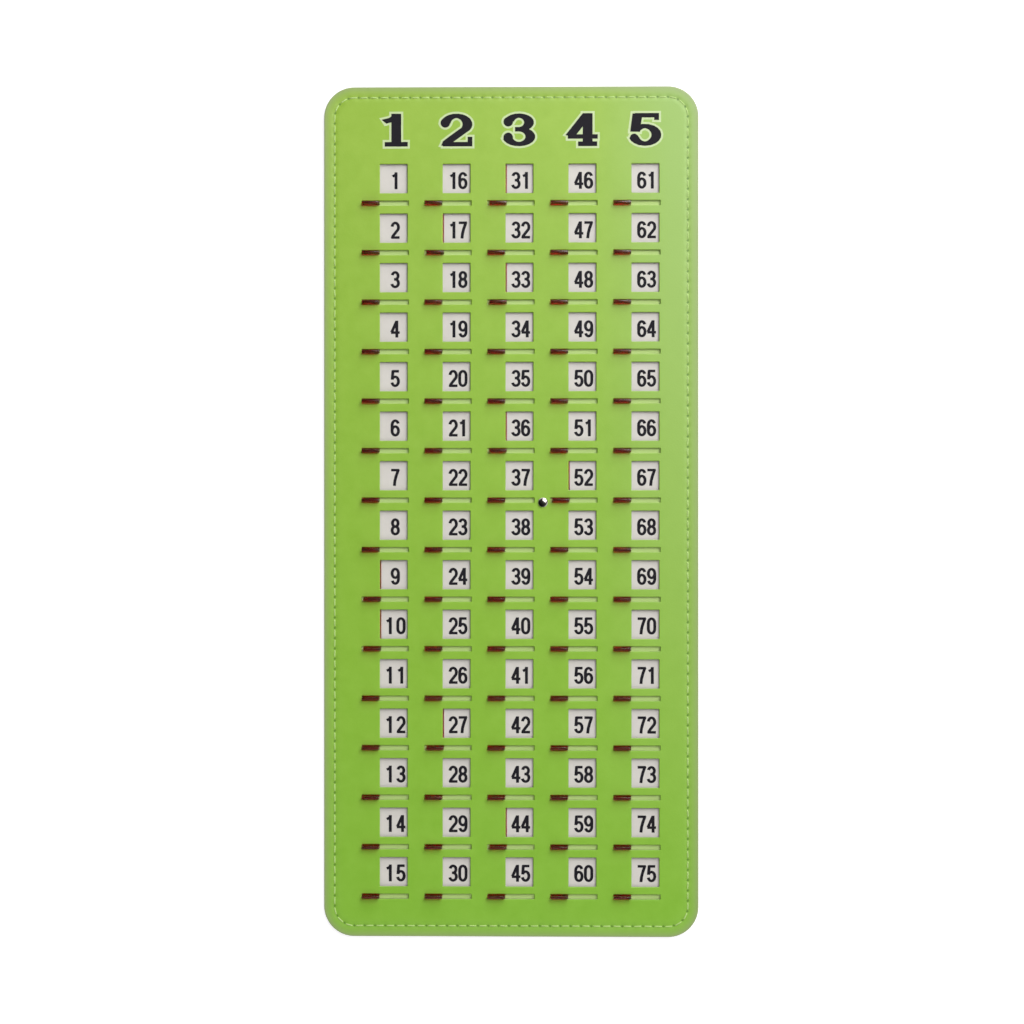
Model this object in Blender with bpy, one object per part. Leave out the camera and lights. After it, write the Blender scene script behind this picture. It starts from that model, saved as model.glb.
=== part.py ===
"""Bingo master board with sliding number shutters.

Four plies of card are stitched round the edge and riveted near the middle: a back cover, the number
sheet, a divider grid and the front cover. Each pocket of the grid holds a tinted shutter. Its tab stands
up through the slit under a number's window, and sliding the tab to the right draws the shutter across
the number.

Metres, +Z up. The board lies on its back with its heading band towards +Y, and the origin is under its
middle.
"""

import math

import bmesh
import bpy

MM = 0.001

# Numbers run down the columns. The shutters of the first rows are pieces of their own. Those of the other
# rows lie on the number sheet and are one solid with it.
COLUMNS = 5
ROWS = 15
LOOSE_ROWS = 10

# Window over each number, and the land of cover left between it and the slit below.
WINDOW_WIDTH = 17.3 * MM
WINDOW_HEIGHT = 18.2 * MM
LAND = 4.8 * MM

# Shutter: a plate that covers the window, a leg down to the slit and an upright tab for a fingertip.
SHUTTER_THICKNESS = 0.5 * MM
SHUTTER_CORNER = 1.2 * MM
SIDE_LAP = 0.4 * MM  # past each side of the window when shut
END_LAP = 1.5 * MM  # past the top and the bottom of the window
OPEN_SETBACK = 0.2 * MM  # from the window's left side when open
AJAR = 1.0 * MM  # how far these numbers' shutters were left from fully open
AJAR_NUMBERS = (9, 10, 17, 27, 31, 33, 36, 44, 52)
TAB_LENGTH = 11.0 * MM
TAB_THICKNESS = 1.8 * MM
TAB_RISE = 3.9 * MM  # above the front cover
TAB_DRAFT = 0.2 * MM  # taper of each side
TAB_ROUND = 0.35 * MM

# Clearances.
RUN_GAP = 0.3 * MM  # round a shutter, at the ends of its tab and round the rivet
TAB_GAP = 0.6 * MM  # above and below the tab in its slit
PLY_GAP = 0.2 * MM  # glue line between two plies
SEAM_GAP = 0.2 * MM  # round the thread

# Plies. The divider is as thick as its pockets need, and the board as large as its pockets and margins.
BACK_THICKNESS = 1.6 * MM
SHEET_THICKNESS = 0.5 * MM
FRONT_THICKNESS = 0.8 * MM
COLUMN_WALL = 2.9 * MM
ROW_WALL = 3.3 * MM
LEFT_MARGIN = 16.5 * MM
RIGHT_MARGIN = 23.9 * MM
TOP_MARGIN = 46.6 * MM
BOTTOM_MARGIN = 23.6 * MM
CORNER_RADIUS = 19.0 * MM
RIM_ROUND = 0.4 * MM
SHUTTER_SEAT = 0.1 * MM  # how deep the fixed shutters are set in the number sheet

# Seam.
SEAM_INSET = 6.7 * MM
THREAD_DIAMETER = 0.5 * MM
THREAD_PROUD = 0.25 * MM  # above the front cover
THREAD_SINK = 0.05 * MM  # inside the back cover

# Rivet, in the land to the right of the middle column's slit, in the row above the middle one.
RIVET_COLUMN = COLUMNS // 2
RIVET_ROW = ROWS // 2 - 1
RIVET_DROP = 1.4 * MM  # below the line of the slits
RIVET_CLEAR = 1.45 * MM  # from the head to the next slit
HEAD_DIAMETER = 6.3 * MM
HEAD_HEIGHT = 1.3 * MM
HEAD_RIM = 0.35 * MM
TUBE_DIAMETER = 3.4 * MM
TUBE_WALL = 0.5 * MM
FLANGE_DIAMETER = 6.0 * MM
FLANGE_THICKNESS = 0.5 * MM
FLANGE_SINK = 0.1 * MM  # inside the back cover

# Facets of the round stretches.
CORNER_STEPS = 8
EDGE_STEPS = 2
RIVET_STEPS = 20
DOME_STEPS = 4
AXIS_MERGE = 0.05 * MM  # joins the points that a turned profile has on its axis

# Heights of the plies, upwards from the face that the board lies on.
DIVIDER_THICKNESS = SHUTTER_THICKNESS + 2 * RUN_GAP - 2 * PLY_GAP
SHEET_BOTTOM = BACK_THICKNESS + PLY_GAP
SHEET_TOP = SHEET_BOTTOM + SHEET_THICKNESS
DIVIDER_BOTTOM = SHEET_TOP + PLY_GAP
DIVIDER_TOP = DIVIDER_BOTTOM + DIVIDER_THICKNESS
FRONT_BOTTOM = DIVIDER_TOP + PLY_GAP
FRONT_TOP = FRONT_BOTTOM + FRONT_THICKNESS
SHUTTER_BOTTOM = SHEET_TOP + RUN_GAP
TAB_HEIGHT = FRONT_TOP + TAB_RISE - SHUTTER_BOTTOM - SHUTTER_THICKNESS
NEEDLE_THREAD_HEIGHT = FRONT_TOP + THREAD_PROUD - THREAD_DIAMETER / 2
BOBBIN_THREAD_HEIGHT = THREAD_SINK + THREAD_DIAMETER / 2
FLANGE_TOP = FLANGE_SINK + FLANGE_THICKNESS
FLANGE_SEAT = FLANGE_TOP + PLY_GAP

# Heights that the cutters reach, clear of the plies.
BELOW_BOARD = -BACK_THICKNESS
ABOVE_BOARD = FRONT_TOP + FRONT_THICKNESS

# Plate of the shutter, its travel and its pocket.
PLATE_WIDTH = WINDOW_WIDTH + 2 * SIDE_LAP
TRAVEL = WINDOW_WIDTH + OPEN_SETBACK + SIDE_LAP
SLIT_HEIGHT = TAB_THICKNESS + 2 * TAB_GAP
SLIT_LENGTH = TAB_LENGTH + TRAVEL + 2 * RUN_GAP
POCKET_LENGTH = PLATE_WIDTH + TRAVEL + 2 * RUN_GAP
POCKET_HEIGHT = RUN_GAP + END_LAP + WINDOW_HEIGHT + LAND + SLIT_HEIGHT

# The grid of numbers, and the board round it.
COLUMN_PITCH = POCKET_LENGTH + COLUMN_WALL
ROW_PITCH = POCKET_HEIGHT + ROW_WALL
BOARD_WIDTH = LEFT_MARGIN + COLUMNS * COLUMN_PITCH - COLUMN_WALL + RIGHT_MARGIN
BOARD_LENGTH = TOP_MARGIN + ROWS * ROW_PITCH - ROW_WALL + BOTTOM_MARGIN


def linear(hex_colour):
    """The linear RGBA of an sRGB colour such as "8CBE46"."""
    channels = [int(hex_colour[i : i + 2], 16) / 255 for i in (0, 2, 4)]
    return [c / 12.92 if c <= 0.04045 else ((c + 0.055) / 1.055) ** 2.4 for c in channels] + [1.0]


def principled(name, hex_colour, roughness, metallic=0.0, transmission=0.0):
    material = bpy.data.materials.new(name)
    material.use_nodes = True
    shader = material.node_tree.nodes["Principled BSDF"]
    shader.inputs["Base Color"].default_value = linear(hex_colour)
    shader.inputs["Roughness"].default_value = roughness
    shader.inputs["Metallic"].default_value = metallic
    shader.inputs["Transmission Weight"].default_value = transmission
    return material


def tab_place(column, row):
    """Middle of a shutter's tab in plan, with the shutter open."""
    pocket_left = -BOARD_WIDTH / 2 + LEFT_MARGIN + column * COLUMN_PITCH
    pocket_bottom = BOARD_LENGTH / 2 - TOP_MARGIN - row * ROW_PITCH - POCKET_HEIGHT
    x = pocket_left + RUN_GAP + PLATE_WIDTH - TAB_LENGTH / 2
    return x, pocket_bottom + SLIT_HEIGHT / 2


def shutter_place(column, row):
    """Middle of a shutter's tab in plan as the shutter was left, which is open or a little ajar."""
    x, y = tab_place(column, row)
    return (x + AJAR if number(column, row) in AJAR_NUMBERS else x), y


def number(column, row):
    return column * ROWS + row + 1


def cells(rows=range(ROWS)):
    """Column and row of every number in these rows."""
    return [(column, row) for row in rows for column in range(COLUMNS)]


def rectangle(left, bottom, right, top):
    return [(left, bottom), (right, bottom), (right, top), (left, top)]


def arc(centre, radius, start, turn, steps):
    """Points of an arc in plan, with angles in quarter turns."""
    angles = [(start + turn * i / steps) * math.pi / 2 for i in range(steps + 1)]
    return [(centre[0] + radius * math.cos(a), centre[1] + radius * math.sin(a)) for a in angles]


def circle(centre, radius):
    return arc(centre, radius, 0, 4, RIVET_STEPS)[:-1]


def board_outline(inset):
    """The board's outline with its four round corners, moved in from the edge."""
    x = BOARD_WIDTH / 2 - CORNER_RADIUS
    y = BOARD_LENGTH / 2 - CORNER_RADIUS
    points = []
    for quarter, centre in enumerate([(x, y), (-x, y), (-x, -y), (x, -y)]):
        points += arc(centre, CORNER_RADIUS - inset, quarter, 1, CORNER_STEPS)
    return points


def window_outline(column, row):
    x, y = tab_place(column, row)
    left = x + TAB_LENGTH / 2 + OPEN_SETBACK
    bottom = y + SLIT_HEIGHT / 2 + LAND
    return rectangle(left, bottom, left + WINDOW_WIDTH, bottom + WINDOW_HEIGHT)


def slit_outline(column, row):
    x, y = tab_place(column, row)
    left = x - TAB_LENGTH / 2 - RUN_GAP
    bottom = y - SLIT_HEIGHT / 2
    return rectangle(left, bottom, left + SLIT_LENGTH, bottom + SLIT_HEIGHT)


def pocket_outline(column, row):
    """A wide bay for the plate over a narrower channel for the leg, with card left beside the channel."""
    x, y = tab_place(column, row)
    channel_left = x - TAB_LENGTH / 2 - RUN_GAP
    right = channel_left + SLIT_LENGTH
    bay_left = right - POCKET_LENGTH
    bottom = y - SLIT_HEIGHT / 2
    bay_bottom = bottom + SLIT_HEIGHT + LAND - END_LAP - RUN_GAP
    top = bottom + POCKET_HEIGHT
    bay = [(right, top), (bay_left, top), (bay_left, bay_bottom)]
    return [(channel_left, bottom), (right, bottom)] + bay + [(channel_left, bay_bottom)]


def rivet_place():
    """In the land between two slits, with the head just clear of the next slit's end."""
    slit_left = slit_outline(RIVET_COLUMN + 1, RIVET_ROW)[0][0]
    slit_line = tab_place(RIVET_COLUMN, RIVET_ROW)[1]
    return slit_left - RIVET_CLEAR - HEAD_DIAMETER / 2, slit_line - RIVET_DROP


def prism(bm, outline, bottom, top):
    """Adds a closed upright prism, and returns its upper points."""
    lower = [bm.verts.new((x, y, bottom)) for x, y in outline]
    upper = [bm.verts.new((x, y, top)) for x, y in outline]
    bm.faces.new(lower[::-1])
    bm.faces.new(upper)
    for i in range(len(outline)):
        bm.faces.new((lower[i - 1], lower[i], upper[i], upper[i - 1]))
    return upper


def band(bm, outer, inner, bottom, top):
    """Adds a closed upright band between two outlines that have as many points."""
    rims = ((outer, bottom), (outer, top), (inner, top), (inner, bottom))
    rows = [[bm.verts.new((x, y, height)) for x, y in outline] for outline, height in rims]
    for below, above in zip(rows, rows[1:] + rows[:1]):
        for i in range(len(outer)):
            bm.faces.new((below[i - 1], below[i], above[i], above[i - 1]))


def finished_mesh(bm, name):
    mesh = bpy.data.meshes.new(name)
    bm.to_mesh(mesh)
    bm.free()
    return mesh


def place(name, data, material=None, location=(0, 0, 0)):
    obj = bpy.data.objects.new(name, data)
    bpy.context.scene.collection.objects.link(obj)
    if material and material.name not in data.materials:
        data.materials.append(material)
    obj.parent = board
    obj.location = location
    return obj


def hidden(obj):
    """Marks a cutter or another helper."""
    obj.hide_render = True
    obj.display_type = "WIRE"
    return obj


def combine(obj, other, operation="DIFFERENCE"):
    boolean = obj.modifiers.new(other.name, "BOOLEAN")
    boolean.operation = operation
    boolean.solver = "EXACT"
    boolean.object = other


def prism_cutter(name, outlines, bottom=BELOW_BOARD, top=ABOVE_BOARD):
    bm = bmesh.new()
    for outline in outlines:
        prism(bm, outline, bottom, top)
    return hidden(place(name, finished_mesh(bm, name)))


def seam_cutter(name, bottom, top):
    """The groove that a thread is drawn into, with a gap all round the thread."""
    half_width = THREAD_DIAMETER / 2 + SEAM_GAP
    outer = board_outline(SEAM_INSET - half_width)
    inner = board_outline(SEAM_INSET + half_width)
    bm = bmesh.new()
    band(bm, outer, inner, bottom, top)
    return hidden(place(name, finished_mesh(bm, name)))


def rivet_hole_cutter(name):
    return prism_cutter(name, [circle(rivet_place(), TUBE_DIAMETER / 2 + RUN_GAP)])


def ply(name, bottom, top, material):
    """One card ply of the board, with the rivet's hole in it."""
    bm = bmesh.new()
    prism(bm, board_outline(0), bottom, top)
    obj = place(name, finished_mesh(bm, name), material)
    combine(obj, rivet_hole_cutter(name + "_rivet_hole"))
    return obj


def add_back_cover():
    """Vinyl-faced card, with a seam groove and a recess for the rivet's flange on its outer face."""
    cover = ply("back_cover", 0, BACK_THICKNESS, leatherette)
    groove_top = BOBBIN_THREAD_HEIGHT + THREAD_DIAMETER / 2 + SEAM_GAP
    recess = circle(rivet_place(), FLANGE_DIAMETER / 2 + RUN_GAP)
    combine(cover, seam_cutter("back_seam_groove", BELOW_BOARD, groove_top))
    combine(cover, prism_cutter("flange_recess", [recess], top=FLANGE_SEAT))


def add_number_sheet(shutter):
    """White card that shows through the windows. The last rows' shutters are set a little into it."""
    sheet = ply("number_sheet", SHEET_BOTTOM, SHEET_TOP, white_card)
    for column, row in cells(range(LOOSE_ROWS, ROWS)):
        location = (*shutter_place(column, row), SHEET_TOP - SHUTTER_SEAT)
        seated = place(shutter_name(column, row), shutter, styrene, location)
        combine(sheet, hidden(seated), "UNION")


def add_divider_grid():
    """Chipboard ply whose pockets guide the shutters."""
    grid = ply("divider_grid", DIVIDER_BOTTOM, DIVIDER_TOP, chipboard)
    combine(grid, prism_cutter("pockets", [pocket_outline(*cell) for cell in cells()]))


def add_front_cover():
    """Vinyl-faced card with its upper rim rounded, die-cut with a window and a slit for every number."""
    cover = ply("front_cover", FRONT_BOTTOM, FRONT_TOP, leatherette)
    bm = bmesh.new()
    bm.from_mesh(cover.data)
    top_face = max(bm.faces, key=lambda face: face.calc_center_median().z)
    bmesh.ops.bevel(
        bm, geom=top_face.edges[:], offset=RIM_ROUND, segments=EDGE_STEPS, profile=0.5, affect="EDGES"
    )
    bm.to_mesh(cover.data)
    bm.free()
    groove_bottom = NEEDLE_THREAD_HEIGHT - THREAD_DIAMETER / 2 - SEAM_GAP
    combine(cover, prism_cutter("windows", [window_outline(*cell) for cell in cells()]))
    combine(cover, prism_cutter("slits", [slit_outline(*cell) for cell in cells()]))
    combine(cover, seam_cutter("front_seam_groove", groove_bottom, ABOVE_BOARD))


def add_thread(name, height):
    """One unbroken thread round the board, lying in its seam groove."""
    curve = bpy.data.curves.new(name, "CURVE")
    curve.dimensions = "3D"
    curve.bevel_depth = THREAD_DIAMETER / 2
    curve.bevel_resolution = 1
    path = board_outline(SEAM_INSET)
    spline = curve.splines.new("POLY")
    spline.points.add(len(path) - 1)
    for point, (x, y) in zip(spline.points, path):
        point.co = (x, y, height, 1)
    spline.use_cyclic_u = True
    place(name, curve, green_thread)


def turned(name, profile):
    """A solid of revolution on the rivet's axis, from its radii and heights, outside first."""
    bm = bmesh.new()
    points = [bm.verts.new((radius, 0, height)) for radius, height in profile]
    for pair in zip(points, points[1:]):
        bm.edges.new(pair)
    obj = place(name, finished_mesh(bm, name), nickel, (*rivet_place(), 0))
    screw = obj.modifiers.new("turn", "SCREW")
    screw.steps = RIVET_STEPS
    screw.render_steps = RIVET_STEPS
    screw.use_merge_vertices = True
    screw.merge_threshold = AXIS_MERGE


def add_rivet_cap():
    """A domed head on the front cover, with a blind tube that passes down through every ply."""
    base = FRONT_TOP + PLY_GAP
    head = HEAD_DIAMETER / 2
    dome_rise = HEAD_HEIGHT - HEAD_RIM
    outside = TUBE_DIAMETER / 2
    bore = outside - TUBE_WALL
    angles = [i / DOME_STEPS * math.pi / 2 for i in range(DOME_STEPS + 1)]
    profile = [(head * math.sin(a), base + HEAD_RIM + dome_rise * math.cos(a)) for a in angles]
    profile += [(head, base), (outside, base), (outside, FLANGE_SEAT)]
    profile += [(bore, FLANGE_SEAT), (bore, FRONT_TOP), (0, FRONT_TOP)]
    turned("rivet_cap", profile)


def add_rivet_post():
    """A pin that is pressed up into the cap's tube, with a flange sunk in the back cover."""
    pin = TUBE_DIAMETER / 2 - TUBE_WALL - RUN_GAP
    pin_top = FRONT_TOP - RUN_GAP
    flange = FLANGE_DIAMETER / 2
    profile = [(0, pin_top), (pin, pin_top), (pin, FLANGE_TOP), (flange, FLANGE_TOP)]
    turned("rivet_post", profile + [(flange, FLANGE_SINK), (0, FLANGE_SINK)])


def only(items, kind):
    """The points, edges or faces among the items that an operator returns."""
    return [item for item in items if isinstance(item, kind)]


def shutter_mesh():
    """The moulded shutter, about the middle of its tab in plan and on the underside of its plate."""
    half_tab = TAB_LENGTH / 2
    half_thickness = TAB_THICKNESS / 2
    left = half_tab - PLATE_WIDTH
    bottom = SLIT_HEIGHT / 2 + LAND - END_LAP
    top = bottom + WINDOW_HEIGHT + 2 * END_LAP
    radius = SHUTTER_CORNER

    # The foot of the tab and the plate share one edge, so the two faces rise as one body.
    bm = bmesh.new()
    foot_outline = rectangle(-half_tab, -half_thickness, half_tab, half_thickness)
    plate_outline = arc((half_tab - radius, top - radius), radius, 0, 1, EDGE_STEPS)
    plate_outline += arc((left + radius, top - radius), radius, 1, 1, EDGE_STEPS)
    plate_outline += arc((left + radius, bottom + radius), radius, 2, 1, EDGE_STEPS)
    plate_outline.append((-half_tab, bottom))
    foot = [bm.verts.new((x, y, 0)) for x, y in foot_outline]
    plate = [bm.verts.new((x, y, 0)) for x, y in plate_outline]
    faces = [bm.faces.new(foot), bm.faces.new([foot[3], foot[2]] + plate)]
    raised = bmesh.ops.extrude_face_region(bm, geom=faces)["geom"]
    for vert in only(raised, bmesh.types.BMVert):
        vert.co.z = SHUTTER_THICKNESS

    # The tab rises from its foot with a little draft, and its top edges are rounded.
    tab_foot = min(only(raised, bmesh.types.BMFace), key=lambda face: face.calc_center_median().y)
    risen = bmesh.ops.extrude_face_region(bm, geom=[tab_foot])["geom"]
    bmesh.ops.delete(bm, geom=[tab_foot], context="FACES_ONLY")
    for vert in only(risen, bmesh.types.BMVert):
        vert.co.z += TAB_HEIGHT
        vert.co.x -= math.copysign(TAB_DRAFT, vert.co.x)
        vert.co.y -= math.copysign(TAB_DRAFT, vert.co.y)
    crest = only(risen, bmesh.types.BMEdge)
    bmesh.ops.bevel(bm, geom=crest, offset=TAB_ROUND, segments=EDGE_STEPS, profile=0.5, affect="EDGES")
    bmesh.ops.recalc_face_normals(bm, faces=bm.faces[:])
    return finished_mesh(bm, "shutter")


def shutter_name(column, row):
    """Each shutter is named for the number that it covers."""
    return f"shutter_{number(column, row):02d}"


def add_loose_shutters(shutter):
    for column, row in cells(range(LOOSE_ROWS)):
        location = (*shutter_place(column, row), SHUTTER_BOTTOM)
        place(shutter_name(column, row), shutter, styrene, location)


for old in list(bpy.data.objects):
    bpy.data.objects.remove(old, do_unlink=True)

board = bpy.data.objects.new("board", None)
bpy.context.scene.collection.objects.link(board)

leatherette = principled("green_leatherette", "8EBC48", 0.45)
chipboard = principled("grey_chipboard", "A39C8C", 0.9)
white_card = principled("white_card", "D6D5CF", 0.7)
styrene = principled("red_styrene", "B4141E", 0.12, transmission=0.85)
green_thread = principled("green_thread", "B9D37E", 0.8)
nickel = principled("nickel_plate", "C9C7C0", 0.2, metallic=1.0)

moulded_shutter = shutter_mesh()
add_back_cover()
add_number_sheet(moulded_shutter)
add_divider_grid()
add_loose_shutters(moulded_shutter)
add_front_cover()
add_thread("needle_thread", NEEDLE_THREAD_HEIGHT)
add_thread("bobbin_thread", BOBBIN_THREAD_HEIGHT)
add_rivet_cap()
add_rivet_post()
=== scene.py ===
import math

import bmesh
import bpy
from mathutils import Matrix, Vector
from mathutils.geometry import delaunay_2d_cdt


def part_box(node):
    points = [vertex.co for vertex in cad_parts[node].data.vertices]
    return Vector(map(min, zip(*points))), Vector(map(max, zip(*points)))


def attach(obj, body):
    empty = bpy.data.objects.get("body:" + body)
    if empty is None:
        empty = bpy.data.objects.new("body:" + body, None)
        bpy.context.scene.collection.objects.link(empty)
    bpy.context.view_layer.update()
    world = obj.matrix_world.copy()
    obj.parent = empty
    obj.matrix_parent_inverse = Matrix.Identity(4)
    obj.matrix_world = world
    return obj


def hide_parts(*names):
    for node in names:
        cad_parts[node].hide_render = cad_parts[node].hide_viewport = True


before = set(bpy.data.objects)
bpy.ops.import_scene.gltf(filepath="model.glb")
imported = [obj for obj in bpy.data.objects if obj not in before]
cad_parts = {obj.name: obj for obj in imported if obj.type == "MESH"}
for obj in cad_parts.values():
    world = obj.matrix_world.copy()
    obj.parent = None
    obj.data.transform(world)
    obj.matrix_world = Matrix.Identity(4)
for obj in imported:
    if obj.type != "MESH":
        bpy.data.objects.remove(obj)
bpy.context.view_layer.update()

# Back cover. Grey card faced with embossed green vinyl that is turned over the rim. It lies face down,
# and the seam pulls a shallow valley into the vinyl all round. The rivet's flange sits in a round hole.

MM = 0.001


def linear(hex_colour):
    """Linear RGBA of an sRGB hex colour."""
    channels = [int(hex_colour[i:i + 2], 16) / 255 for i in (0, 2, 4)]
    return (*[c / 12.92 if c <= 0.04045 else ((c + 0.055) / 1.055) ** 2.4 for c in channels], 1.0)


def fill(node, inputs):
    """Sets or links a node's inputs, by name or in their order."""
    shown = [socket for socket in node.inputs if socket.enabled]
    for key, value in inputs.items() if isinstance(inputs, dict) else enumerate(inputs):
        socket = shown[key] if isinstance(key, int) else next(s for s in shown if s.name == key)
        if isinstance(value, bpy.types.Node):
            value = next(s for s in value.outputs if s.enabled)
        if isinstance(value, bpy.types.NodeSocket):
            node.id_data.links.new(value, socket)
        else:
            socket.default_value = value


def add(tree, kind, inputs=(), **settings):
    """Adds a node, of the first family that has this kind, with its settings and inputs."""
    shared = ("ShaderNode", "Node")
    families = shared if tree.type == "SHADER" else ("GeometryNode", "FunctionNode", *shared)
    made = tree.nodes.new(next(f + kind for f in families if hasattr(bpy.types, f + kind)))
    for name, value in settings.items():
        setattr(made, name, value)
    fill(made, inputs)
    return made


def finish(name, **sockets):
    """A material, its tree and its shader, with the values that are the same all over the surface."""
    material = bpy.data.materials.new(name)
    material.use_nodes = True
    shader = material.node_tree.nodes["Principled BSDF"]
    fill(shader, {label.replace("_", " "): value for label, value in sockets.items()})
    return material, material.node_tree, shader


def flecked(shader, size, detail, dark, light, stretch=(1.0, 1.0, 1.0)):
    """Gives a surface two colours that mix in flecks of this size, and returns the flecks' pattern."""
    tree = shader.id_data
    spot = add(tree, "TexCoord").outputs["Object"]
    stretched = add(tree, "Mapping", {"Vector": spot, "Scale": stretch})
    fleck = add(tree, "TexNoise", {"Vector": stretched, "Scale": 1 / size, "Detail": detail})
    tones = add(tree, "Mix", {"Factor": fleck, "A": linear(dark), "B": linear(light)}, data_type="RGBA")
    fill(shader, {"Base Color": tones})
    return fleck


def new_tree(name, inputs):
    """A Geometry Nodes tree with a named input for each value, and those inputs' sockets by name."""
    tree = bpy.data.node_groups.new(name, "GeometryNodeTree")
    kinds = {float: "Float", int: "Int", tuple: "Vector"}
    kinds.update({bpy.types.Material: "Material", bpy.types.Object: "Object"})
    tree.interface.new_socket("Points", in_out="INPUT", socket_type="NodeSocketGeometry")
    for label, value in inputs.items():
        tree.interface.new_socket(label, in_out="INPUT", socket_type="NodeSocket" + kinds[type(value)])
    tree.interface.new_socket("Geometry", in_out="OUTPUT", socket_type="NodeSocketGeometry")
    return tree, {s.name: s for s in tree.nodes.new("NodeGroupInput").outputs}


def grown(name, tree, values, points=()):
    """The plain mesh that a tree gives for these values, as an object at the origin."""
    seeds = bpy.data.meshes.new(name + "_points")
    seeds.from_pydata(points, [], [])
    holder = bpy.data.objects.new(name + "_rule", seeds)
    bpy.context.scene.collection.objects.link(holder)
    modifier = holder.modifiers.new("rule", "NODES")
    modifier.node_group = tree
    for item in tree.interface.items_tree:
        if item.in_out == "INPUT" and item.name in values:
            modifier[item.identifier] = values[item.name]
    graph = bpy.context.evaluated_depsgraph_get()
    mesh = bpy.data.meshes.new_from_object(holder.evaluated_get(graph))
    bpy.data.objects.remove(holder, do_unlink=True)
    return placed(name, mesh)


def placed(name, mesh):
    """A new piece at the origin, whose place is in its mesh."""
    mesh.name = name
    piece = bpy.data.objects.new(name, mesh)
    bpy.context.scene.collection.objects.link(piece)
    return piece


# Embossed vinyl leatherette: a calendered film with a fine pebble grain, satin, mottled by the press. The
# grain is about 0.9 mm across. The colour is a little yellower towards the heading, and a painted sheen
# makes it paler towards the upper right. It is greyer at the worn rim, and painted shade darkens the
# needle holes.
vinyl, tree, shader = finish("embossed_green_vinyl", Specular_IOR_Level=0.6)
spot = add(tree, "TexCoord").outputs["Object"]
mottle = add(tree, "TexNoise", {"Vector": spot, "Scale": 1 / (9 * MM), "Detail": 3.0})
cloud = add(tree, "TexNoise", {"Vector": spot, "Scale": 1 / (60 * MM), "Detail": 1.0})
across_board, along_board, _ = add(tree, "SeparateXYZ", {"Vector": spot}).outputs
# A yellower green towards the heading.
towards_heading = add(tree, "MapRange", {"Value": along_board, "From Min": -250 * MM, "From Max": 250 * MM})
# Painted sheen: a paler green towards the right side, strongest at the top.
sheen_side = add(tree, "MapRange", {"Value": across_board, "From Min": 50 * MM, "From Max": 100 * MM})
painted_sheen = add(tree, "Math", [sheen_side, towards_heading], operation="MULTIPLY")
lower_green, upper_green = (
    add(tree, "Mix", {"Factor": mottle, "A": linear(dark), "B": linear(light)}, data_type="RGBA")
    for dark, light in (("7FB52F", "8DC13F"), ("8EB52F", "9DC141"))
)
rim_wear = add(tree, "Attribute", attribute_name="rim").outputs["Fac"]
# Painted shade in the needle holes, from the marks that the cover's rule leaves there.
hole_shade_fac = add(tree, "Attribute", attribute_name="needle_hole").outputs["Fac"]
painted_hole_shade = add(tree, "MapRange", {"Value": hole_shade_fac, "From Min": 0.4, "From Max": 0.9})
green = add(tree, "Mix", {"Factor": towards_heading, "A": lower_green, "B": upper_green}, data_type="RGBA")
# Mixed over it in turn: the painted sheen, greyer wear at the rim, and painted shade in the needle holes.
for share, tone in ((painted_sheen, "98BD5C"), (rim_wear, "97A871"), (painted_hole_shade, "567D2A")):
    green = add(tree, "Mix", {"Factor": share, "A": green, "B": linear(tone)}, data_type="RGBA")
pebble = add(tree, "TexVoronoi", {"Vector": spot, "Scale": 1 / (0.9 * MM)}, feature="SMOOTH_F1")
ripple = add(tree, "Math", [cloud, 6.0, pebble], operation="MULTIPLY_ADD")
grain = add(tree, "Bump", {"Height": ripple, "Strength": 0.35, "Distance": 0.08 * MM}, invert=True)
sheen = add(tree, "MapRange", {"Value": cloud, "To Min": 0.4, "To Max": 0.52})
fill(shader, {"Base Color": green, "Normal": grain, "Roughness": sheen})

# Pressed grey card, cut with a die: matt, with short fibres about 2 mm long that lie along the ply.
core, tree, shader = finish("pressed_grey_card", Roughness=0.9)
fibre = flecked(shader, 2 * MM, 4.0, "837F69", "A8A48B", stretch=(1.0, 1.0, 6.0))
fuzz = add(tree, "Bump", {"Height": fibre, "Strength": 0.4, "Distance": 0.05 * MM})
fill(shader, {"Normal": fuzz})

low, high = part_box("back_cover")
WIDTH = high.x - low.x
LENGTH = high.y - low.y
CORNER_RADIUS = 19.0 * MM
SEAM_INSET = 6.7 * MM
STITCHES = 226
LEAF = 0.02 * MM  # air between two glued plies
rivet_low, rivet_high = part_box("rivet_cap")
rivet_x = (rivet_low.x + rivet_high.x) / 2
rivet_y = (rivet_low.y + rivet_high.y) / 2

back_sizes = {
    "Width": WIDTH,
    "Length": LENGTH,
    "Corner Radius": CORNER_RADIUS,
    "Thickness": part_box("number_sheet")[0].z - LEAF - low.z,
    "Rim Round": 0.4 * MM,
    "Border": 13.0 * MM,
    "Seam Inset": SEAM_INSET,
    "Seam Width": 1.5 * MM,
    "Seam Depth": 0.25 * MM,
    "Pucker": 0.5,
    # Width of the painted shade round each needle hole.
    "Hole Width": 1.1 * MM,
    "Rim Wear": 2.6 * MM,
    "Stitches": STITCHES,
    "Steps per Stitch": 5,
    "Columns": 1,
    "Rows": 1,
    "Column Pitch": 0.0,
    "Row Pitch": 0.0,
    "Window Width": 0.0,
    "Window Height": 0.0,
    "First Window": (0.0, 0.0, 0.0),
    "Slit Length": 0.0,
    "Slit Height": 0.0,
    "First Slit": (0.0, 0.0, 0.0),
    "Opening Corner": 0.35 * MM,
    "Cut Round": 0.3 * MM,
    "Die Cut": 0,
    "Rivet Hole": 3.3 * MM,
    "Rivet Place": (-rivet_x, rivet_y, 0.0),
    "Vinyl": vinyl,
    "Core": core,
}


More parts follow.
